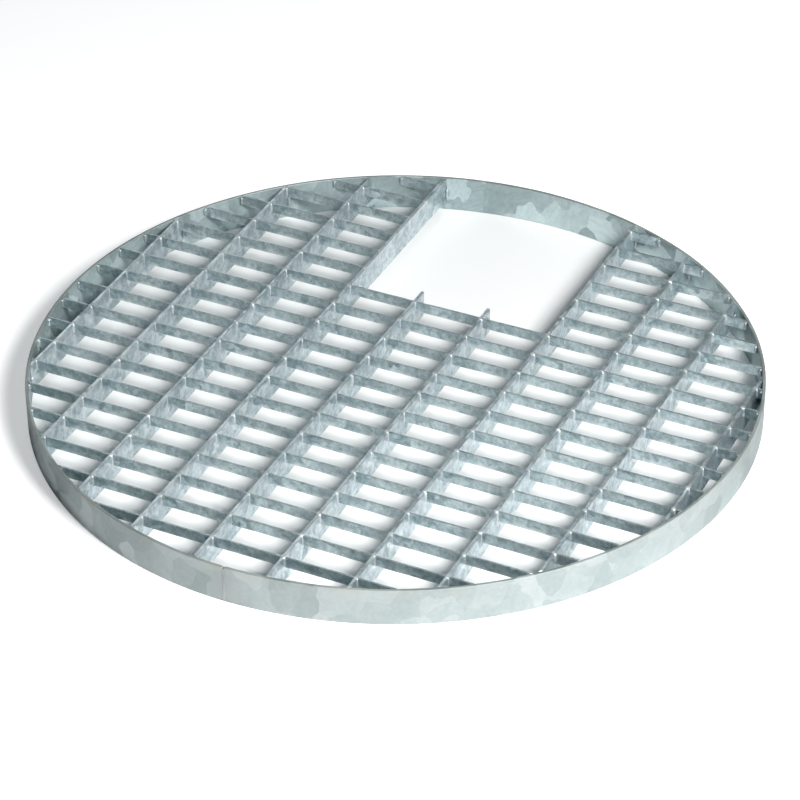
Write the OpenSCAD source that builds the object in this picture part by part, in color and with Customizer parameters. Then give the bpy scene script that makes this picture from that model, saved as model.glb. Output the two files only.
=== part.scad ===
/* [Edge band] */
// Outside diameter of the round cover
cover_d = 660; // [650:5:700]
// Depth of the edge band
rim_h = 35; // [32:1:60]
// Thickness of the edge band
rim_t = 3; // [2:0.5:5]
// Width of the butt weld that closes the band
seam_w = 2.5; // [1.5:0.5:5]

/* [Bearing bars] */
// Distance between the centre lines of neighbouring bearing bars
bar_pitch = 66.7; // [60:0.1:67.5]
// Depth of a bearing bar
bar_h = 25; // [20:1:30]
// Thickness of a bearing bar
bar_t = 3; // [2:0.5:5]
// How far the middle of the grid sits to the +X side of the cover's centre
grid_shift = 4.7; // [0:0.1:5.5]

/* [Cross bars] */
// Distance between the centre lines of neighbouring cross bars
cross_pitch = 33; // [31.5:0.1:33.2]
// Depth of a cross bar
cross_h = 10; // [8:1:14]
// Thickness of a cross bar
cross_t = 2; // [1.5:0.5:3]

/* [Cut-out] */
// Y position of the cross bar that closes the cut-out
cutout_y = 100.4; // [95:0.1:101]
// How far the two cut bearing bars stand out past that cross bar
stub_l = 18; // [8:1:28]

/* [Fits and welds] */
// Gap left between the pieces for pressing and welding
fit_gap = 0.1; // [0.05:0.05:0.2]
// Leg of a fillet weld that ties a bar end to the band
weld_leg = 3; // [2:0.5:4]

/* [Hidden] */
$fn = 256;

// Counts of the grid
BARS = 10;
CROSS_IN_FRONT = 13;
CROSS_BESIDE = 6;
LEFT_EDGE_BAR = 3;
RIGHT_EDGE_BAR = 6;

// Radii of the band, and of the circle that the bar ends are cut to
rim_r = cover_d / 2;
inner_r = rim_r - rim_t;
end_r = inner_r - fit_gap;

// Heights: every top is flush with the top of the band, so the band stands below the bars
top_z = rim_h;
bar_z = top_z - bar_h;
cross_z = top_z - cross_h;
slot_w = cross_t + 2 * fit_gap;

// Welds: beads in the upright corners, those of the bearing bars ending below the cross bars
weld_end_gap = 1;
bar_weld_h = bar_h - cross_h - 2 * weld_end_gap;
cross_weld_h = cross_h - 2 * weld_end_gap;

// Centre line of bearing bar i, counted from the -X side
function bar_x(i) = grid_shift + (i - (BARS - 1) / 2) * bar_pitch;
// Centre line of cross bar c: 0 closes the cut-out, positive ones lie in front of it
function cross_y(c) = cutout_y - c * cross_pitch;
// Half length of a chord of the circle of radius r, at distance d from its centre
function half_chord(r, d) = sqrt(max(0, r * r - d * d));
// Bearing bars between the two edge bars stop short in the cut-out
function is_cut(i) = i > LEFT_EDGE_BAR && i < RIGHT_EDGE_BAR;
function bar_end_y(i) = is_cut(i) ? cutout_y + stub_l : rim_r;
// Lowest and highest cross bar numbers
first_cross = -CROSS_BESIDE;
last_cross = CROSS_IN_FRONT - 1;

// The space inside the circle of bar ends
module inside_band() {
    translate([0, 0, -1])
        cylinder(h = rim_h + 2, r = end_r);
}

// A straight flat bar along X from x0 to x1
module flat_along_x(x0, x1, y, thickness, z0, depth) {
    translate([x0, y - thickness / 2, z0])
        cube([x1 - x0, thickness, depth]);
}

// A straight flat bar along Y from y0 to y1
module flat_along_y(x, y0, y1, thickness, z0, depth) {
    translate([x - thickness / 2, y0, z0])
        cube([thickness, y1 - y0, depth]);
}

// The rolled strip, as a closed ring
module band_ring() {
    difference() {
        cylinder(h = rim_h, r = rim_r);
        translate([0, 0, -1])
            cylinder(h = rim_h + 2, r = inner_r);
    }
}

// The block that the seam takes out of the ring, at the -Y side
module seam_block(width) {
    translate([-width / 2, -rim_r - 1, -1])
        cube([width, rim_t + 3, rim_h + 2]);
}

module edge_band() {
    color([0.74, 0.79, 0.79])
        difference() {
            band_ring();
            seam_block(seam_w + 2 * fit_gap);
        }
}

module edge_band_seam_weld() {
    color([0.62, 0.68, 0.68])
        intersection() {
            band_ring();
            seam_block(seam_w);
        }
}

// A bearing bar: upright flat bar, slotted from above wherever a cross bar is pressed in
module bearing_bar(i) {
    color([0.68, 0.75, 0.77])
        difference() {
            intersection() {
                flat_along_y(bar_x(i), -rim_r, bar_end_y(i), bar_t, bar_z, bar_h);
                inside_band();
            }
            for (c = [first_cross : last_cross])
                flat_along_x(bar_x(i) - bar_t, bar_x(i) + bar_t, cross_y(c), slot_w,
                             cross_z - fit_gap, cross_h + 1);
        }
}

// A cross bar between x0 and x1, trimmed to the circle
module cross_bar_between(c, x0, x1) {
    color([0.55, 0.62, 0.63])
        intersection() {
            flat_along_x(x0, x1, cross_y(c), cross_t, cross_z, cross_h);
            inside_band();
        }
}

module full_cross_bar(c) {
    cross_bar_between(c, -rim_r, rim_r);
}

// Beside the cut-out each cross bar ends flush with the far face of the edge bar
module left_cross_bar(k) {
    cross_bar_between(-k, -rim_r, bar_x(LEFT_EDGE_BAR) + bar_t / 2);
}

module right_cross_bar(k) {
    cross_bar_between(-k, bar_x(RIGHT_EDGE_BAR) - bar_t / 2, rim_r);
}

// Everything the weld beads have to stay clear of: the bearing bars at full height
module bearing_bar_space() {
    for (i = [0 : BARS - 1])
        flat_along_y(bar_x(i), -rim_r, rim_r, bar_t, -1, rim_h + 2);
}

// The same for the cross bars
module cross_bar_space() {
    for (c = [first_cross : last_cross])
        flat_along_x(-rim_r, rim_r, cross_y(c), cross_t, cross_z, cross_h + 1);
}

// One bead: an upright round rod with its centre line in the corner, cut off at the face of its bar.
// side points away from that face
module bead(x, y, side, z0, height) {
    intersection() {
        translate([x, y, z0])
            cylinder(h = height, r = weld_leg, $fn = 72);
        translate([x + side[0] * weld_leg, y + side[1] * weld_leg, z0 + height / 2])
            cube([2 * weld_leg, 2 * weld_leg, height], center = true);
    }
}

// Trims beads to the clear space inside the band
module trimmed_beads() {
    color([0.60, 0.66, 0.67])
        difference() {
            intersection() {
                children();
                translate([0, 0, -1])
                    cylinder(h = rim_h + 2, r = inner_r);
            }
            bearing_bar_space();
            cross_bar_space();
        }
}

// Beads on both sides of each bearing bar's end; end is -1 in front and 1 behind
module bearing_bar_welds(end) {
    trimmed_beads()
        for (i = [0 : BARS - 1])
            if (end < 0 || !is_cut(i))
                for (side = [-1, 1]) {
                    x = bar_x(i) + side * bar_t / 2;
                    bead(x, end * half_chord(inner_r, x), [side, 0], bar_z + weld_end_gap, bar_weld_h);
                }
}

// A bead on the front of each cross bar's end; end is -1 on the left and 1 on the right
module cross_bar_welds(end) {
    trimmed_beads()
        for (c = [first_cross : last_cross]) {
            y = cross_y(c) - cross_t / 2;
            bead(end * half_chord(inner_r, y), y, [0, -1], cross_z + weld_end_gap, cross_weld_h);
        }
}

edge_band();
edge_band_seam_weld();
bearing_bar(0);  // bearing_bar_01
bearing_bar(1);  // bearing_bar_02
bearing_bar(2);  // bearing_bar_03
bearing_bar(3);  // bearing_bar_04
bearing_bar(4);  // bearing_bar_05
bearing_bar(5);  // bearing_bar_06
bearing_bar(6);  // bearing_bar_07
bearing_bar(7);  // bearing_bar_08
bearing_bar(8);  // bearing_bar_09
bearing_bar(9);  // bearing_bar_10
full_cross_bar(0);  // cross_bar_01
full_cross_bar(1);  // cross_bar_02
full_cross_bar(2);  // cross_bar_03
full_cross_bar(3);  // cross_bar_04
full_cross_bar(4);  // cross_bar_05
full_cross_bar(5);  // cross_bar_06
full_cross_bar(6);  // cross_bar_07
full_cross_bar(7);  // cross_bar_08
full_cross_bar(8);  // cross_bar_09
full_cross_bar(9);  // cross_bar_10
full_cross_bar(10);  // cross_bar_11
full_cross_bar(11);  // cross_bar_12
full_cross_bar(12);  // cross_bar_13
left_cross_bar(1);  // short_cross_bar_left_1
left_cross_bar(2);  // short_cross_bar_left_2
left_cross_bar(3);  // short_cross_bar_left_3
left_cross_bar(4);  // short_cross_bar_left_4
left_cross_bar(5);  // short_cross_bar_left_5
left_cross_bar(6);  // short_cross_bar_left_6
right_cross_bar(1);  // short_cross_bar_right_1
right_cross_bar(2);  // short_cross_bar_right_2
right_cross_bar(3);  // short_cross_bar_right_3
right_cross_bar(4);  // short_cross_bar_right_4
right_cross_bar(5);  // short_cross_bar_right_5
right_cross_bar(6);  // short_cross_bar_right_6
bearing_bar_welds(-1);  // bearing_bar_welds_front
bearing_bar_welds(1);  // bearing_bar_welds_back
cross_bar_welds(-1);  // cross_bar_welds_left
cross_bar_welds(1);  // cross_bar_welds_right
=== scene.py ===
"""Looks of a round galvanised bar-grating cover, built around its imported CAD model."""
import math
import random
from collections import namedtuple

import bmesh
import bpy
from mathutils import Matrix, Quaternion, Vector, noise


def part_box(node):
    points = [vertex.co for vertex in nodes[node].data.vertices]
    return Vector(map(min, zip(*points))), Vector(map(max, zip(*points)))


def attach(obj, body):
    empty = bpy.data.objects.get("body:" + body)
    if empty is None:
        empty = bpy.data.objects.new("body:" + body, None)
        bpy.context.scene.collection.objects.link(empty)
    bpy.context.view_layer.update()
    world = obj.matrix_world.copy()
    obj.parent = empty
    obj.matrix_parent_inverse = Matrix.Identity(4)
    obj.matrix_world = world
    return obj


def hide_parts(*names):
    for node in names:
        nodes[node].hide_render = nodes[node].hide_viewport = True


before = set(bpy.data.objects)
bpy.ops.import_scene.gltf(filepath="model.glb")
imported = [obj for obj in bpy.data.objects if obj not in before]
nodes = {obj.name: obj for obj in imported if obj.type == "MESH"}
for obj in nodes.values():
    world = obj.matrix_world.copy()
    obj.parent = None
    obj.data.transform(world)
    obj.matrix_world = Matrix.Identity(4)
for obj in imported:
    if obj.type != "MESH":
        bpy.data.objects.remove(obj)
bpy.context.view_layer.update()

MM = 0.001
BODY = "root"

# Seeds of everything random. Blender's own noise starts from the clock until it is given one
NOISE_SEED = 7
SEAM_SEED = 5
CROSSING_SEED = 100
noise.seed_set(NOISE_SEED)

# Clearance of the bars, and the rounding of their edges and of the band's
SLOT_GAP = 0.1 * MM
EDGE_ROUND = 0.4 * MM
BAND_ROUND = 0.7 * MM

# How finely the visible meshes are divided
STATION_STEP = 6 * MM
ROW_STEP = 5 * MM
BAND_STATIONS = 420
BAND_ROWS = 7
SEAM_ROWS = 44
SEAM_STEPS = 6

# The length over which a bar's end is fitted to the band, and the inset of the band's last stations
END_BLEND = 8 * MM
END_INSET = 0.3 * MM

# How far the dipped zinc lies off a true surface, and how many waves it has in a metre
UNEVEN = 0.14 * MM
WAVES = 40.0
BAND_UNEVEN = 0.25 * MM
BAND_WAVES = 14.0

# Radii of the weld beads, and the length of a ripple
BAR_BEAD = 2.0 * MM
CROSS_BEAD = 1.5 * MM
RIPPLE = 1.6 * MM
RINGS_PER_RIPPLE = 3

# How far a bead sits out of its corner, in radii, and how far it strays, in millimetres
BEAD_OUT = 0.55
BEAD_STRAY = 0.15

# Where the seam's bead starts, and how much shorter than the band's depth it is
SEAM_FOOT = 0.2 * MM
SEAM_SHORTER = 1.4 * MM

# Zinc at the crossings, in millimetres, as ranges that each fillet and each drop is drawn from
FILLET_LEG = (0.6, 1.3)
FILLET_DROP = (0.2, 0.8)
DROP_SHIFT = (-0.3, 0.3)
DROP_HALF_X = (1.7, 2.4)
DROP_HALF_Y = (2.4, 3.6)
DROP_HEIGHT = (0.35, 0.7)

# How far the fillets reach into the steel, how far above the cross bar's lower edge they start, and
# how far the drops sink in
FILLET_ROOT = 0.1 * MM
FILLET_FOOT = 0.3 * MM
DROP_SINK = 0.3 * MM

# The studio floor, its size and distance below the cover, and the painted glow that only the camera sees on
# it outside the cover
FLOOR_SIZE = 30
FLOOR_GAP = 0.2 * MM
FLOOR_GLOW = 0.42

# The camera's place round the cover's centre at the height of its top, and the point it looks at
CAMERA_AZIMUTH = 25.63
CAMERA_ELEVATION = 33.98
CAMERA_DISTANCE = 2.9535
CAMERA_ROLL = math.radians(0.29)
CAMERA_LENS = 148.6
CAMERA_SENSOR = 36
CAMERA_REACH = 60
LOOK_RIGHT = 0.0036
LOOK_AHEAD = -0.0571


# ---------------------------------------------------------------- measuring the frame

def node_names(prefix):
    """Names of the bars whose names start with prefix, without the welds."""
    return sorted(name for name in nodes if name.startswith(prefix) and "weld" not in name)


def size_band():
    """Outer and inner radius of the edge band, and its lowest and highest level."""
    reach = [math.hypot(v.co.x, v.co.y) for v in nodes["edge_band"].data.vertices]
    low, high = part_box("edge_band")
    return max(reach), min(reach), low.z, high.z


BAND_OUT, BAND_IN, BAND_LOW, BAND_TOP = size_band()
END_RADIUS = BAND_IN - SLOT_GAP
BEARING = {name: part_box(name) for name in node_names("bearing_bar")}
CROSS = {name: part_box(name) for name in node_names("cross_bar") + node_names("short_cross_bar")}


def middle(box, axis):
    """The middle of a box along one axis."""
    return (box[0][axis] + box[1][axis]) / 2


def chord(across):
    """How far a bar reaches to the circle of bar ends, at a distance across from the centre."""
    return math.sqrt(max(0.0, END_RADIUS ** 2 - across ** 2))


def meets_band(end, centre):
    """True for a bar end that lies at the band, and False for one that stops at the cut-out."""
    return abs(end) > chord(centre) - 10 * MM


# ---------------------------------------------------------------- meshes

def wobble(point, waves=WAVES, amount=UNEVEN, shift=0.0):
    """A small smooth shift of a point, as dipped zinc lies a little uneven."""
    place = Vector(point) * waves + Vector((shift, shift * 0.7, -shift))
    return noise.noise_vector(place) * amount


def mesh_object(name, points, faces, material):
    """A smooth-shaded piece of the object, from points in the cover's own frame."""
    mesh = bpy.data.meshes.new(name)
    mesh.from_pydata([tuple(p) for p in points], [], faces)
    mesh.update()
    work = bmesh.new()
    work.from_mesh(mesh)
    bmesh.ops.recalc_face_normals(work, faces=work.faces)
    work.to_mesh(mesh)
    work.free()
    for polygon in mesh.polygons:
        polygon.use_smooth = True
    piece = bpy.data.objects.new(name, mesh)
    bpy.context.scene.collection.objects.link(piece)
    mesh.materials.append(material)
    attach(piece, BODY)
    return piece


def even_shading(piece):
    """Lets the large flat faces set the shading of the small ones beside them."""
    even = piece.modifiers.new("even shading", "WEIGHTED_NORMAL")
    even.keep_sharp = False


def round_edges(piece, width):
    """Rounds the sharp edges of a bar."""
    bevel = piece.modifiers.new("rounded edges", "BEVEL")
    bevel.width = width
    bevel.segments = 3
    bevel.limit_method = "ANGLE"
    bevel.angle_limit = math.radians(40)


def join_rings(faces, base, rings, count):
    """Faces between rings of count points each, which follow one another from point base on."""
    for k in range(rings):
        for c in range(count):
            a, b = base + k * count + c, base + k * count + (c + 1) % count
            faces.append([a, b, b + count, a + count])


def close_ends(faces, base, rings, count):
    """A face over the first ring and one over the last."""
    faces.append([base + c for c in range(count)])
    faces.append([base + rings * count + c for c in range(count)])


def stations(start, end, cuts):
    """Places along a bar: both ends, both sides of each cut, and steps between them."""
    fixed = sorted({start, end} | {side for cut in cuts for side in cut})
    places = []
    for a, b in zip(fixed, fixed[1:]):
        steps = max(1, round((b - a) / STATION_STEP))
        places += [a + (b - a) * k / steps for k in range(steps)]
    return places + [end]


def levels(low, high):
    """Heights up the side of a bar, from low to high."""
    steps = max(1, round((high - low) / ROW_STEP))
    return [low + (high - low) * k / steps for k in range(steps + 1)]


def upright_bar(name, along, centre, thickness, low, high, ends, slots, slot_floor, material):
    """A flat bar on edge along axis 0 or 1, with slots from above. ends gives each end's place along
    the bar, as a function of the place across it."""
    start, end = ends[0](centre), ends[1](centre)
    places = stations(start, end, slots)
    rows = levels(low, slot_floor)
    slot_row = len(rows) - 1
    rows += levels(slot_floor, high)[1:]
    shift_of_bar = len(name) + centre * 100

    def solid(i, j):
        if not (0 <= i < len(places) - 1 and 0 <= j < len(rows) - 1):
            return False
        middle_place = (places[i] + places[i + 1]) / 2
        return j < slot_row or not any(a < middle_place < b for a, b in slots)

    points, index, faces = [], {}, []

    def corner(side, i, j):
        key = (side, i, j)
        if key not in index:
            across = centre + (side - 0.5) * thickness
            near_start = max(0.0, 1 - (places[i] - start) / END_BLEND)
            near_end = max(0.0, 1 - (end - places[i]) / END_BLEND)
            place = places[i] + (ends[0](across) - start) * near_start + (ends[1](across) - end) * near_end
            point = Vector((across, place, rows[j]) if along == 1 else (place, across, rows[j]))
            shift = wobble(point, shift=shift_of_bar)
            shift[along] = 0.0
            index[key] = len(points)
            points.append(point + shift)
        return index[key]

    for i in range(len(places) - 1):
        for j in range(len(rows) - 1):
            if not solid(i, j):
                continue
            ring = [(i, j), (i + 1, j), (i + 1, j + 1), (i, j + 1)]
            for side in (0, 1):
                faces.append([corner(side, *c) for c in ring])
            neighbours = [(i, j - 1), (i + 1, j), (i, j + 1), (i - 1, j)]
            for k, other in enumerate(neighbours):
                if not solid(*other):
                    a, b = ring[k], ring[(k + 1) % 4]
                    faces.append([corner(0, *a), corner(1, *a), corner(1, *b), corner(0, *b)])
    piece = mesh_object(name, points, faces, material)
    round_edges(piece, EDGE_ROUND)
    even_shading(piece)
    return piece


def crossings(bar_box):
    """The boxes of the cross bars that a bearing bar holds."""
    x = middle(bar_box, 0)
    found = []
    for box in CROSS.values():
        y = middle(box, 1)
        if box[0].x - MM <= x <= box[1].x + MM and bar_box[0].y < y < bar_box[1].y:
            found.append(box)
    return sorted(found, key=lambda box: box[0].y)


def build_bearing_bars(material):
    """The bearing bars, slotted for the cross bars. Two of them stop short in the cut-out."""
    for name, box in BEARING.items():
        x, thickness = middle(box, 0), box[1].x - box[0].x
        held = crossings(box)
        slots = [(b[0].y - SLOT_GAP, b[1].y + SLOT_GAP) for b in held]
        slot_floor = held[0][0].z - SLOT_GAP
        back = chord if meets_band(box[1].y, x) else (lambda across: box[1].y)
        ends = (lambda across: -chord(across), back)
        piece = upright_bar(name + "_dipped", 1, x, thickness, box[0].z, box[1].z, ends, slots,
                            slot_floor, material)
        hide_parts(name)


def build_cross_bars(material):
    """The cross bars. Those beside the cut-out end square at its edge bar."""
    for name, box in CROSS.items():
        y, thickness = middle(box, 1), box[1].y - box[0].y
        left = (lambda across: box[0].x) if "right" in name else (lambda across: -chord(across))
        right = (lambda across: box[1].x) if "left" in name else chord
        piece = upright_bar(name + "_dipped", 0, y, thickness, box[0].z, box[1].z, (left, right), [],
                            middle(box, 2), material)
        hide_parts(name)


def rounded_outline(half_w, half_h, radius, arc_steps, side_steps):
    """Points round a rounded rectangle, with the long sides divided."""
    outline = []
    corners = [(1, 1, 0), (-1, 1, 90), (-1, -1, 180), (1, -1, 270)]
    for k, (sx, sz, turn) in enumerate(corners):
        cx, cz = sx * (half_w - radius), sz * (half_h - radius)
        for a in range(arc_steps + 1):
            angle = math.radians(turn + 90 * a / arc_steps)
            outline.append((cx + radius * math.cos(angle), cz + radius * math.sin(angle)))
        if k % 2 == 1:
            nx, nz = outline[-1]
            other = -nz
            outline += [(nx, nz + (other - nz) * s / side_steps) for s in range(1, side_steps)]
    return outline


def build_edge_band(material):
    """The rolled strip, open at its seam."""
    seam_low, seam_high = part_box("edge_band_seam_weld")
    gap = (seam_high.x - seam_low.x + 2 * SLOT_GAP) / 2 / BAND_OUT
    half_w, half_h = (BAND_OUT - BAND_IN) / 2, (BAND_TOP - BAND_LOW) / 2
    outline = rounded_outline(half_w, half_h, BAND_ROUND, 4, BAND_ROWS)
    mid_r, mid_z = (BAND_OUT + BAND_IN) / 2, (BAND_TOP + BAND_LOW) / 2
    points, faces = [], []
    start, end = gap - math.pi / 2, 1.5 * math.pi - gap
    inset = END_INSET / BAND_OUT
    around = end - start - 2 * inset
    between = [start + inset + around * k / BAND_STATIONS for k in range(BAND_STATIONS + 1)]
    angles = [start] + between + [end]
    for angle in angles:
        for r, z in outline:
            reach = mid_r + r
            point = Vector((reach * math.cos(angle), reach * math.sin(angle), mid_z + z))
            points.append(point + wobble(point, waves=BAND_WAVES, amount=BAND_UNEVEN))
    join_rings(faces, 0, len(angles) - 1, len(outline))
    close_ends(faces, 0, len(angles) - 1, len(outline))
    piece = mesh_object("edge_band_dipped", points, faces, material)
    even_shading(piece)
    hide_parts("edge_band")


def add_rod(points, faces, path, radii, sides=10):
    """A closed rod of varying radius along path, as a weld bead is."""
    rings = len(path)
    base = len(points)
    for k, centre in enumerate(path):
        ahead = (path[min(k + 1, rings - 1)] - path[max(k - 1, 0)]).normalized()
        side = ahead.orthogonal().normalized()
        other = ahead.cross(side)
        for s in range(sides):
            angle = 2 * math.pi * s / sides
            out = side * math.cos(angle) + other * math.sin(angle)
            points.append(centre + out * radii[k])
    join_rings(faces, base, rings - 1, sides)
    for k, tip in ((0, path[0]), (rings - 1, path[-1])):
        inward = path[1] if k == 0 else path[-2]
        points.append(tip + (tip - inward) * 0.5)
        for s in range(sides):
            faces.append([base + k * sides + s, base + k * sides + (s + 1) % sides, len(points) - 1])


def ripple(k):
    """The ripple of a weld bead at ring k, from -1 to 1."""
    return math.sin(k * 2 * math.pi / RINGS_PER_RIPPLE)


def upright_bead(points, faces, x, y, low, high, radius, rng):
    """A weld bead that climbs an upright corner in overlapping ripples."""
    rings = max(6, round((high - low) / RIPPLE) * RINGS_PER_RIPPLE)
    path, radii = [], []
    for k in range(rings + 1):
        t = k / rings
        cap = math.sqrt(max(0.02, 1 - abs(2 * t - 1) ** 6))
        swell = 1 + 0.10 * ripple(k) + rng.uniform(-0.06, 0.06)
        off_x = rng.uniform(-BEAD_STRAY, BEAD_STRAY) * MM
        off_y = rng.uniform(-BEAD_STRAY, BEAD_STRAY) * MM
        path.append(Vector((x + off_x, y + off_y, low + (high - low) * t)))
        radii.append(radius * cap * swell)
    add_rod(points, faces, path, radii)


def bead_spots(bars, along, sign):
    """Places of the corners where beads lie: across the bar and along it, and the side of the bar. sign
    says which ends of the bars they are at. A bearing bar has beads on both sides, a cross bar in front."""
    spots = []
    for _, box in sorted(bars.items()):
        centre = middle(box, 1 - along)
        half = (box[1][1 - along] - box[0][1 - along]) / 2
        end = box[1][along] if sign > 0 else box[0][along]
        if not meets_band(end, centre):
            continue
        for side in ((-1, 1) if along == 1 else (-1,)):
            across = centre + side * half
            reach = sign * math.sqrt(max(0.0, BAND_IN ** 2 - across ** 2))
            spots.append((across, reach, side))
    return spots


def build_end_welds(name, bars, along, radius, material, seed):
    """Beads in the corners between the band and the ends of bars that run along axis 0 or 1."""
    rng = random.Random(seed)
    low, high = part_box(name)
    sign = 1 if ("back" in name or "right" in name) else -1
    out = radius * BEAD_OUT
    points, faces = [], []
    for across, reach, side in bead_spots(bars, along, sign):
        off_across, off_reach = across + side * out, reach - sign * out
        x, y = (off_across, off_reach) if along == 1 else (off_reach, off_across)
        upright_bead(points, faces, x, y, low.z, high.z, radius * rng.uniform(0.85, 1.1), rng)
    piece = mesh_object(name + "_beads", points, faces, material)
    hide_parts(name)


def build_seam_weld(material):
    """The butt weld of the band: a low rippled bead that stops just short of the top."""
    rng = random.Random(SEAM_SEED)
    low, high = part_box("edge_band_seam_weld")
    half_w = (high.x - low.x) / 2 + SLOT_GAP
    points, faces = [], []
    for k in range(SEAM_ROWS + 1):
        z = low.z + SEAM_FOOT + (high.z - low.z - SEAM_SHORTER) * (k / SEAM_ROWS)
        swell = (0.16 + 0.10 * ripple(k) + rng.uniform(-0.04, 0.04)) * MM
        for face_y, way in ((-BAND_OUT, -1), (-BAND_IN, 1)):
            for s in range(SEAM_STEPS + 1):
                u = way * (1 - s / SEAM_STEPS * 2)
                bulge = swell * (1 - u * u)
                points.append(Vector((u * half_w, face_y + way * bulge, z)))
    count = 2 * (SEAM_STEPS + 1)
    join_rings(faces, 0, SEAM_ROWS, count)
    close_ends(faces, 0, SEAM_ROWS, count)
    piece = mesh_object("edge_band_seam_bead", points, faces, material)
    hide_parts("edge_band_seam_weld")


def add_fillet(points, faces, corner, way, size, low, high, rng):
    """Zinc drawn into an upright inside corner: a hollow-faced prism that thins out towards its ends."""
    rings, steps = 5, 4
    base = len(points)
    for k in range(rings + 1):
        t = k / rings
        leg = size * (0.55 + 0.45 * math.sin(math.pi * min(1.0, 0.25 + 0.6 * t))) * rng.uniform(0.9, 1.1)
        z = low + (high - low) * t
        points.append(Vector((corner[0] - way[0] * FILLET_ROOT, corner[1] - way[1] * FILLET_ROOT, z)))
        for s in range(steps + 1):
            angle = math.pi / 2 * s / steps
            u, v = 1 - math.sin(angle), 1 - math.cos(angle)
            points.append(Vector((corner[0] + way[0] * leg * u, corner[1] + way[1] * leg * v, z)))
    join_rings(faces, base, rings, steps + 2)
    close_ends(faces, base, rings, steps + 2)


def add_dome(points, faces, centre, half_x, half_y, height, rng):
    """A low drop of zinc over a slot, sunk a little into the bar's top."""
    rings, sides = 4, 12
    base = len(points)
    turn = rng.uniform(0, math.pi)
    for k in range(rings):
        lift = math.sin(math.pi / 2 * k / rings)
        spread = math.cos(math.pi / 2 * k / rings)
        for s in range(sides):
            angle = 2 * math.pi * s / sides
            uneven = 1 + 0.12 * math.sin(2 * angle + turn) + 0.06 * math.sin(3 * angle - turn)
            points.append(Vector((centre.x + half_x * spread * uneven * math.cos(angle),
                                  centre.y + half_y * spread * uneven * math.sin(angle),
                                  centre.z - DROP_SINK + (height + DROP_SINK) * lift)))
    points.append(Vector((centre.x, centre.y, centre.z + height)))
    join_rings(faces, base, rings - 1, sides)
    for s in range(sides):
        faces.append([base + (rings - 1) * sides + s, base + (rings - 1) * sides + (s + 1) % sides,
                      len(points) - 1])
    faces.append([base + s for s in range(sides)])


def build_crossing_zinc(material):
    """The zinc that runs into the corners of every crossing and stands as a drop on the slot."""
    for number, (name, box) in enumerate(sorted(BEARING.items())):
        rng = random.Random(CROSSING_SEED + number)
        points, faces = [], []
        for held in crossings(box):
            y_faces = ((held[0].y, -1), (held[1].y, 1))
            for x_face, x_way in ((box[0].x, -1), (box[1].x, 1)):
                beside = x_face + x_way * 3 * MM
                if not held[0].x - MM < beside < held[1].x + MM:
                    continue
                for y_face, y_way in y_faces:
                    size = rng.uniform(*FILLET_LEG) * MM
                    drop = rng.uniform(*FILLET_DROP) * MM
                    add_fillet(points, faces, (x_face, y_face), (x_way, y_way), size,
                               held[0].z + FILLET_FOOT, held[1].z - drop, rng)
            centre = Vector((middle(box, 0), middle(held, 1) + rng.uniform(*DROP_SHIFT) * MM, box[1].z))
            add_dome(points, faces, centre, rng.uniform(*DROP_HALF_X) * MM, rng.uniform(*DROP_HALF_Y) * MM,
                     rng.uniform(*DROP_HEIGHT) * MM, rng)
        mesh_object(name + "_crossing_zinc", points, faces, material)


# ---------------------------------------------------------------- materials

class Shader:
    """A small helper that adds nodes to one material and wires them."""

    def __init__(self, name):
        self.material = bpy.data.materials.new(name)
        self.material.use_nodes = True
        self.tree = self.material.node_tree
        self.bsdf = self.tree.nodes["Principled BSDF"]

    def wire(self, value, socket):
        if isinstance(value, bpy.types.NodeSocket):
            self.tree.links.new(value, socket)
        else:
            socket.default_value = value

    def node(self, kind, inputs=None, **settings):
        made = self.tree.nodes.new(kind)
        for key, value in settings.items():
            setattr(made, key, value)
        for key, value in (inputs or {}).items():
            self.wire(value, made.inputs[key])
        return made

    def math(self, operation, a, b=0.0, clamp=False):
        made = self.node("ShaderNodeMath", {0: a, 1: b}, operation=operation, use_clamp=clamp)
        return made.outputs[0]

    def vector(self, operation, a, b=(0.0, 0.0, 0.0)):
        return self.node("ShaderNodeVectorMath", {0: a, 1: b}, operation=operation).outputs[0]

    def scaled(self, vector, factor):
        made = self.node("ShaderNodeVectorMath", {0: vector, "Scale": factor}, operation="SCALE")
        return made.outputs[0]

    def noise(self, vector, size, detail=3.0, roughness=0.55):
        made = self.node("ShaderNodeTexNoise", {"Vector": vector, "Scale": 1 / size, "Detail": detail,
                                                "Roughness": roughness})
        return made.outputs["Fac"]

    def length(self, vector):
        made = self.node("ShaderNodeVectorMath", {0: vector}, operation="LENGTH")
        return made.outputs["Value"]

    def surface_normal(self):
        return self.node("ShaderNodeNewGeometry").outputs["Normal"]

    def span(self, value, low, high, out_low=0.0, out_high=1.0):
        made = self.node("ShaderNodeMapRange", {"Value": value, "From Min": low, "From Max": high,
                                                "To Min": out_low, "To Max": out_high})
        return made.outputs["Result"]

    def mix(self, factor, a, b):
        made = self.node("ShaderNodeMix", data_type="RGBA")
        self.wire(factor, made.inputs["Factor"])
        self.wire(a, made.inputs["A"])
        self.wire(b, made.inputs["B"])
        return made.outputs["Result"]


def colour(r, g, b):
    return (r, g, b, 1.0)


Crystals = namedtuple("Crystals", "bent colour tone turn dull")
Layers = namedtuple("Layers", "feather fine frost broad")

# Sizes of the patterns in the zinc. The crystals' own size is different in each material
FINE_SIZE = 2.2 * MM
FROST_SIZE = 5.5 * MM
BROAD_SIZE = 70 * MM
SPECK_SIZE = 1.1 * MM
EDGE_PATCH_SIZE = 9 * MM
SMUDGE_SIZE = 32 * MM
SCORCH_RAGGED = 14 * MM
RELIEF_DEPTH = 0.15 * MM

# The feathers in a crystal are noise that is turned about one axis and then drawn out
FEATHER_AXIS = (0.4, 0.5, 0.77)
FEATHER_COMB = (1.0, 0.12, 0.35)
FULL_TURN = 6.28

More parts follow.
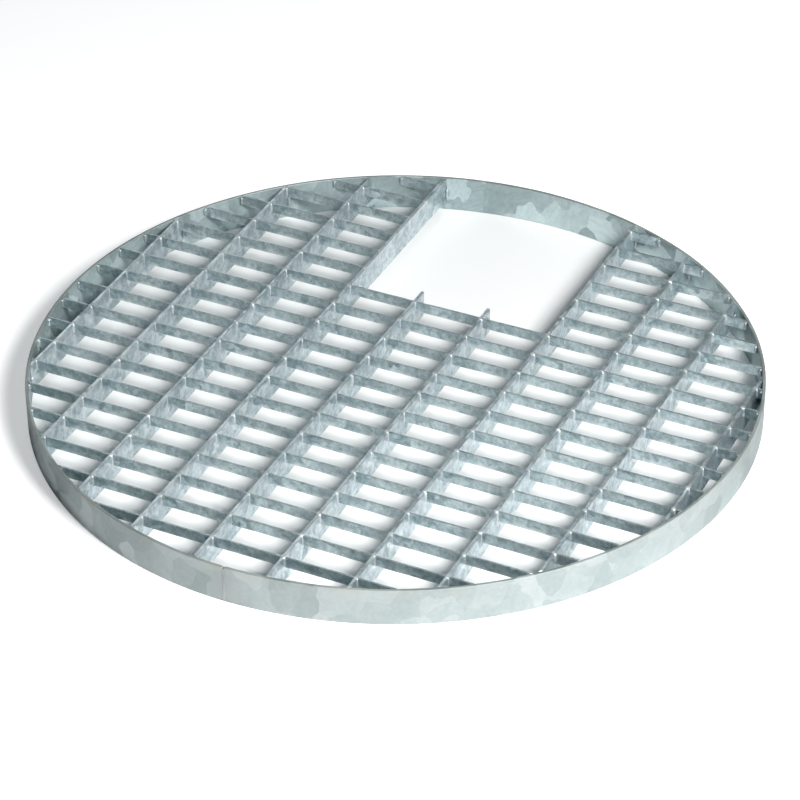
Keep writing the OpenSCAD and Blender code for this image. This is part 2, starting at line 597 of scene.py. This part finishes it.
# Where the inner face of the band ends, as a distance from its inner radius
INNER_FACE_FROM = 0.7 * MM
INNER_FACE_TO = 1.6 * MM

# How far below the top of the band the smudges start and reach their full strength
SMUDGE_FROM = 14 * MM
SMUDGE_TO = 1 * MM

# How far the heat of the seam's weld dulled the zinc, and how little height counts in that distance
SCORCH_FROM = 9 * MM
SCORCH_TO = 26 * MM
SCORCH_HEIGHT = 0.25

# Painted highlight for the raised edges, which also stands for worn zinc there
EDGE_HIGHLIGHT_AND_WEAR = colour(0.80, 0.83, 0.83)
SPECK = colour(0.20, 0.23, 0.23)
# Painted shade for the faces that look up
PAINTED_TOP_SHADE = colour(0.20, 0.22, 0.20)
SMUDGE = colour(0.44, 0.45, 0.40)
SCORCHED = colour(0.36, 0.38, 0.36)
# A cooler tint painted on the band's inner face for the bluish light in its shade
INNER_SHADE_TINT = (0.94, 1.01, 1.02)
MID_GREY = (0.5, 0.5, 0.5)


def zinc_crystals(s, place, spangle):
    """Crystals about as wide as spangle, with bent borders. The three channels of a crystal's own random
    colour give its tone, the turn of its feathers and how dull it is."""
    warp = s.node("ShaderNodeTexNoise", {"Vector": place, "Scale": 1.2 / spangle, "Detail": 1.0})
    bend = s.scaled(s.vector("SUBTRACT", warp.outputs["Color"], MID_GREY), spangle * 0.8)
    bent = s.vector("ADD", place, bend)
    cells = s.node("ShaderNodeTexVoronoi", {"Vector": bent, "Scale": 1 / spangle, "Randomness": 1.0})
    split = s.node("ShaderNodeSeparateColor", {"Color": cells.outputs["Color"]})
    tone, turn, dull = split.outputs[0], split.outputs[1], split.outputs[2]
    return Crystals(bent, cells.outputs["Color"], tone, turn, dull)


def zinc_feathers(s, place, crystals, spangle):
    """Thin streaks that run their own way in each crystal."""
    turn = s.math("MULTIPLY", crystals.turn, FULL_TURN)
    turned = s.node("ShaderNodeVectorRotate", {"Vector": place, "Axis": FEATHER_AXIS, "Angle": turn},
                    rotation_type="AXIS_ANGLE").outputs[0]
    combed = s.vector("MULTIPLY", turned, FEATHER_COMB)
    return s.span(s.noise(combed, spangle * 0.09, 2.0, 0.5), 0.3, 0.7)


def zinc_layers(s, place, crystals, spangle):
    """The patterns that lie over the crystals, each from 0 to 1."""
    feather = zinc_feathers(s, place, crystals, spangle)
    fine = s.span(s.noise(place, FINE_SIZE, 2.0, 0.5), 0.3, 0.7)
    frost = s.span(s.noise(crystals.bent, FROST_SIZE, 3.0, 0.6), 0.34, 0.66)
    broad = s.span(s.noise(place, BROAD_SIZE, 2.0), 0.35, 0.65)
    return Layers(feather, fine, frost, broad)


def zinc_tone(s, crystals, layers, contrast, mottle):
    """Where the zinc lies between its dark and its light tone, from 0 to 1."""
    amount = s.math("ADD", 0.5, s.math("MULTIPLY", s.math("SUBTRACT", crystals.tone, 0.5), contrast))
    strengths = Layers(feather=0.04 + mottle * 0.2, fine=mottle * 0.5, frost=mottle, broad=0.22)
    for layer, strength in zip(layers, strengths):
        amount = s.math("ADD", amount, s.math("MULTIPLY", s.math("SUBTRACT", layer, 0.5), strength))
    return s.math("ADD", amount, 0.0, clamp=True)


def zinc_roughness(s, crystals, layers, roughness):
    """Each crystal is dull in its own degree, and all of them vary a little from place to place."""
    rough = s.span(crystals.dull, 0.0, 1.0, roughness - 0.03, roughness + 0.11)
    return s.math("ADD", rough, s.math("MULTIPLY", s.math("SUBTRACT", layers.fine, 0.5), 0.06))


def inner_face(s, place):
    """1 on the inner face of the band, 0 on its outer face, with a soft border on its top."""
    radius = s.length(s.vector("MULTIPLY", place, (1.0, 1.0, 0.0)))
    return s.span(radius, BAND_IN + INNER_FACE_FROM, BAND_IN + INNER_FACE_TO, 1.0, 0.0)


def vary_inner_face(s, base, inside, crystals, layers, strength):
    """Makes the crystals on the band's inner face differ more, and paints a cooler tint on it for the bluish
    light in its shade.
    """
    pattern = s.math("ADD", s.math("MULTIPLY", crystals.tone, 0.7), s.math("MULTIPLY", layers.feather, 0.3))
    shade = s.math("MULTIPLY", s.math("SUBTRACT", pattern, 0.22), strength)
    varied = s.vector("MULTIPLY", s.scaled(base, s.math("ADD", 1.0, shade)), INNER_SHADE_TINT)
    return s.mix(inside, base, varied)


def paint_edge_highlight_and_wear(s, place, base):
    """Paints patches of highlight along the raised edges, which also stand for worn zinc there."""
    raised = s.span(s.node("ShaderNodeNewGeometry").outputs["Pointiness"], 0.52, 0.62)
    patches = s.span(s.noise(place, EDGE_PATCH_SIZE), 0.35, 0.6, 0.25, 0.8)
    return s.mix(s.math("MULTIPLY", raised, patches, clamp=True), base, EDGE_HIGHLIGHT_AND_WEAR)


def add_specks(s, place, base):
    """Scatters small darker specks."""
    specks = s.span(s.noise(place, SPECK_SIZE, 2.0), 0.73, 0.79)
    return s.mix(s.math("MULTIPLY", specks, 0.25), base, SPECK)


def shade_and_roughen_upward_faces(s, base, rough, strength):
    """Paints shade on the faces that look up by darkening their colour, and raises their roughness."""
    upward = s.node("ShaderNodeSeparateXYZ", {"Vector": s.surface_normal()}).outputs["Z"]
    shaded_and_rough_tops = s.span(upward, 0.30, 0.75)
    base = s.mix(s.math("MULTIPLY", shaded_and_rough_tops, strength), base, PAINTED_TOP_SHADE)
    return base, s.math("ADD", rough, s.math("MULTIPLY", shaded_and_rough_tops, 0.30))


def smudge_rim(s, place, base, inside):
    """Lays dull smudges on the outer face, just below the top."""
    level = s.node("ShaderNodeSeparateXYZ", {"Vector": place}).outputs["Z"]
    near_top = s.span(level, BAND_TOP - SMUDGE_FROM, BAND_TOP - SMUDGE_TO)
    near_top = s.math("MULTIPLY", near_top, s.math("SUBTRACT", 1.0, inside))
    patches = s.span(s.noise(place, SMUDGE_SIZE, 4.0), 0.48, 0.66, 0.0, 0.45)
    return s.mix(s.math("MULTIPLY", near_top, patches), base, SMUDGE)


def scorch(s, place, base, seam):
    """Dulls the zinc round the seam's weld, with a ragged outline."""
    low_place = s.vector("MULTIPLY", place, (1.0, 1.0, SCORCH_HEIGHT))
    low_seam = (seam.x, seam.y, seam.z * SCORCH_HEIGHT)
    away = s.node("ShaderNodeVectorMath", {0: low_place, 1: low_seam}, operation="DISTANCE").outputs["Value"]
    ragged = s.math("ADD", away, s.math("MULTIPLY", s.noise(place, SCORCH_RAGGED), SCORCH_RAGGED))
    return s.mix(s.span(ragged, SCORCH_FROM, SCORCH_TO, 0.45, 0.0), base, SCORCHED)


def zinc_surface(s, crystals, layers, tilt, mottle):
    """A normal that leans its own way in each crystal, with the relief of the frost on it."""
    lean = s.scaled(s.vector("SUBTRACT", crystals.colour, MID_GREY), tilt)
    normal = s.vector("NORMALIZE", s.vector("ADD", s.surface_normal(), lean))
    relief = s.math("ADD", s.math("MULTIPLY", layers.frost, 0.7), s.math("MULTIPLY", layers.fine, 0.3))
    bump = s.node("ShaderNodeBump", {"Height": relief, "Distance": RELIEF_DEPTH,
                                     "Strength": 0.15 + 0.6 * mottle, "Normal": normal})
    return bump.outputs[0]


def galvanised(name, dark, light, spangle, tilt, roughness, contrast, mottle, metal=0.85,
               grazing=1.0, top_shade_and_smudge=0.0, inner_contrast=0.0, seam=None):
    """Hot-dip zinc between the tones dark and light. spangle is the crystals' size, tilt how far they
    lean, contrast how far they differ in tone, mottle how strong the frost is, metal how metallic the
    zinc is and grazing how much it still mirrors at low angles. top_shade_and_smudge paints shade on the
    upward faces and makes them rougher, and smudges the outer face below them; inner_contrast varies the
    crystals inside the band and paints a cooler shade tint there, and seam is the place of a weld that
    dulls the zinc round it. Every material gets painted highlight on its raised edges, which also stands
    for worn zinc."""
    s = Shader(name)
    place = s.node("ShaderNodeTexCoord").outputs["Object"]
    crystals = zinc_crystals(s, place, spangle)
    layers = zinc_layers(s, place, crystals, spangle)
    base = s.mix(zinc_tone(s, crystals, layers, contrast, mottle), dark, light)
    rough = zinc_roughness(s, crystals, layers, roughness)
    if inner_contrast:
        # a cooler tint painted on the band's inner face for the bluish light in its shade
        base = vary_inner_face(s, base, inner_face(s, place), crystals, layers, inner_contrast)
    # painted highlight on the raised edges, which also stands for worn zinc
    base = paint_edge_highlight_and_wear(s, place, base)
    base = add_specks(s, place, base)
    # painted shade and more roughness on the upward faces, and smudges on the outer face below them
    if top_shade_and_smudge:
        base, rough = shade_and_roughen_upward_faces(s, base, rough, top_shade_and_smudge)
        base = smudge_rim(s, place, base, inner_face(s, place))
    if seam is not None:
        base = scorch(s, place, base, seam)
    s.wire(base, s.bsdf.inputs["Base Color"])
    s.wire(rough, s.bsdf.inputs["Roughness"])
    s.wire(zinc_surface(s, crystals, layers, tilt, mottle), s.bsdf.inputs["Normal"])
    s.bsdf.inputs["Metallic"].default_value = metal
    s.bsdf.inputs["Specular Tint"].default_value = colour(grazing, grazing, grazing)
    return s.material


def band_zinc():
    """Large soft crystals with painted shade and more roughness on its top, smudges below it, a cooler
    painted shade tint inside and a scorched place at the seam.
    """
    low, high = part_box("edge_band_seam_weld")
    return galvanised("band zinc", dark=colour(0.31, 0.37, 0.375), light=colour(0.53, 0.57, 0.575),
                      spangle=24 * MM, tilt=0.28, roughness=0.36, contrast=0.42, mottle=0.18, metal=0.60,
                      grazing=0.3, top_shade_and_smudge=0.55, inner_contrast=0.5, seam=(low + high) / 2)


def seam_zinc():
    """Small crystals on the band's own weld, with the same painted top shade, rougher top and smudges as the
    band.
    """
    return galvanised("seam zinc", dark=colour(0.29, 0.34, 0.34), light=colour(0.50, 0.55, 0.55),
                      spangle=6 * MM, tilt=0.20, roughness=0.42, contrast=0.40, mottle=0.30, metal=0.60,
                      grazing=0.3, top_shade_and_smudge=0.55)


def bar_zinc():
    """Frosty light zinc of the bearing bars."""
    return galvanised("bar zinc", dark=colour(0.34, 0.42, 0.45), light=colour(0.70, 0.78, 0.81),
                      spangle=9 * MM, tilt=0.26, roughness=0.35, contrast=0.50, mottle=0.64)


def cross_bar_zinc():
    """The same on the cross bars, finer and darker."""
    return galvanised("cross bar zinc", dark=colour(0.28, 0.36, 0.38), light=colour(0.58, 0.67, 0.69),
                      spangle=7 * MM, tilt=0.26, roughness=0.38, contrast=0.45, mottle=0.72)


def weld_zinc():
    """Thick light zinc at the crossings and on the welds in front."""
    return galvanised("weld zinc", dark=colour(0.52, 0.58, 0.60), light=colour(0.80, 0.84, 0.86),
                      spangle=5 * MM, tilt=0.20, roughness=0.50, contrast=0.40, mottle=0.25)


def shaded_joint_zinc():
    """Darker zinc on the welds at the sides and behind, where the darker tone is painted shade."""
    return galvanised("shaded joint zinc", dark=colour(0.30, 0.36, 0.38), light=colour(0.54, 0.60, 0.62),
                      spangle=5 * MM, tilt=0.20, roughness=0.50, contrast=0.40, mottle=0.30)


def pale_floor():
    """A pale floor with a painted glow that only the camera sees outside the cover's outline, so that it
    does not turn grey there and the cover's shadow on it is washed out.
    """
    s = Shader("studio floor")
    place = s.node("ShaderNodeTexCoord").outputs["Object"]
    cloud = s.noise(place, 0.6, 2.0)
    outside = s.math("GREATER_THAN", s.length(place), (BAND_IN + BAND_OUT) / 2)
    seen = s.node("ShaderNodeLightPath").outputs["Is Camera Ray"]
    # painted glow, seen only by the camera, that lightens the floor and the cover's shadow outside the
    # outline
    lift = s.math("MULTIPLY", s.math("MULTIPLY", outside, seen), FLOOR_GLOW)
    s.wire(s.mix(cloud, colour(0.86, 0.865, 0.87), colour(0.90, 0.90, 0.90)), s.bsdf.inputs["Base Color"])
    s.wire(lift, s.bsdf.inputs["Emission Strength"])
    s.bsdf.inputs["Emission Color"].default_value = colour(1.0, 1.0, 1.0)
    s.bsdf.inputs["Roughness"].default_value = 0.9
    s.bsdf.inputs["Specular IOR Level"].default_value = 0.1
    return s.material


# ---------------------------------------------------------------- studio

def build_floor():
    """The floor that the cover lies on."""
    bpy.ops.mesh.primitive_plane_add(size=FLOOR_SIZE, location=(0, 0, BAND_LOW - FLOOR_GAP))
    floor = bpy.context.object
    floor.name = "studio_floor"
    floor.data.materials.append(pale_floor())


def direction(azimuth, elevation):
    """The way from the cover to a place round it, in degrees, with azimuth 0 towards -Y."""
    a, e = math.radians(azimuth), math.radians(elevation)
    return Vector((math.cos(e) * math.sin(a), -math.cos(e) * math.cos(a), math.sin(e)))


def area_light(name, azimuth, elevation, distance, size, power, tint):
    """A square soft light that looks at the cover."""
    place = direction(azimuth, elevation) * distance
    light = bpy.data.lights.new(name, "AREA")
    light.size = size
    light.energy = power
    light.color = tint
    lamp = bpy.data.objects.new(name, light)
    lamp.location = place
    lamp.rotation_euler = (-place).to_track_quat("-Z", "Y").to_euler()
    bpy.context.scene.collection.objects.link(lamp)


def build_lights():
    """A small key light from the right, a large one from behind, and a faint blue sky."""
    area_light("key", azimuth=60, elevation=43, distance=2.0, size=0.62, power=64, tint=(1.0, 0.995, 0.985))
    area_light("back", azimuth=226, elevation=38, distance=5.0, size=3.0, power=36, tint=(0.90, 0.97, 1.0))
    world = bpy.data.worlds.new("studio")
    world.use_nodes = True
    background = world.node_tree.nodes["Background"]
    background.inputs["Color"].default_value = colour(0.70, 0.91, 0.97)
    background.inputs["Strength"].default_value = 0.07
    bpy.context.scene.world = world
    bpy.context.scene.view_settings.view_transform = "Standard"
    bpy.context.scene.view_settings.look = "None"


def build_camera():
    """The photo's camera, rolled a little as it was held."""
    a = math.radians(CAMERA_AZIMUTH)
    top = Vector((0, 0, BAND_TOP))
    right = Vector((math.cos(a), math.sin(a), 0))
    ahead = Vector((-math.sin(a), math.cos(a), 0))
    place = top + direction(CAMERA_AZIMUTH, CAMERA_ELEVATION) * CAMERA_DISTANCE
    target = top + right * LOOK_RIGHT + ahead * LOOK_AHEAD
    data = bpy.data.cameras.new("camera")
    data.lens = CAMERA_LENS
    data.sensor_width = CAMERA_SENSOR
    data.clip_end = CAMERA_REACH
    camera = bpy.data.objects.new("camera", data)
    bpy.context.scene.collection.objects.link(camera)
    camera.location = place
    turn = (target - place).to_track_quat("-Z", "Y") @ Quaternion((0, 0, 1), -CAMERA_ROLL)
    camera.rotation_euler = turn.to_euler()
    bpy.context.scene.camera = camera


# ---------------------------------------------------------------- build

def build_cover():
    """Every piece of the cover, with its material."""
    light_weld, shaded_weld = weld_zinc(), shaded_joint_zinc()
    build_edge_band(band_zinc())
    build_seam_weld(seam_zinc())
    build_bearing_bars(bar_zinc())
    build_cross_bars(cross_bar_zinc())
    build_crossing_zinc(light_weld)
    build_end_welds("bearing_bar_welds_front", BEARING, 1, BAR_BEAD, light_weld, seed=11)
    # The welds behind and at the sides get the darker zinc, as painted shade
    build_end_welds("bearing_bar_welds_back", BEARING, 1, BAR_BEAD, shaded_weld, seed=12)
    build_end_welds("cross_bar_welds_left", CROSS, 0, CROSS_BEAD, shaded_weld, seed=13)
    build_end_welds("cross_bar_welds_right", CROSS, 0, CROSS_BEAD, shaded_weld, seed=14)


build_cover()
build_floor()
build_lights()
build_camera()
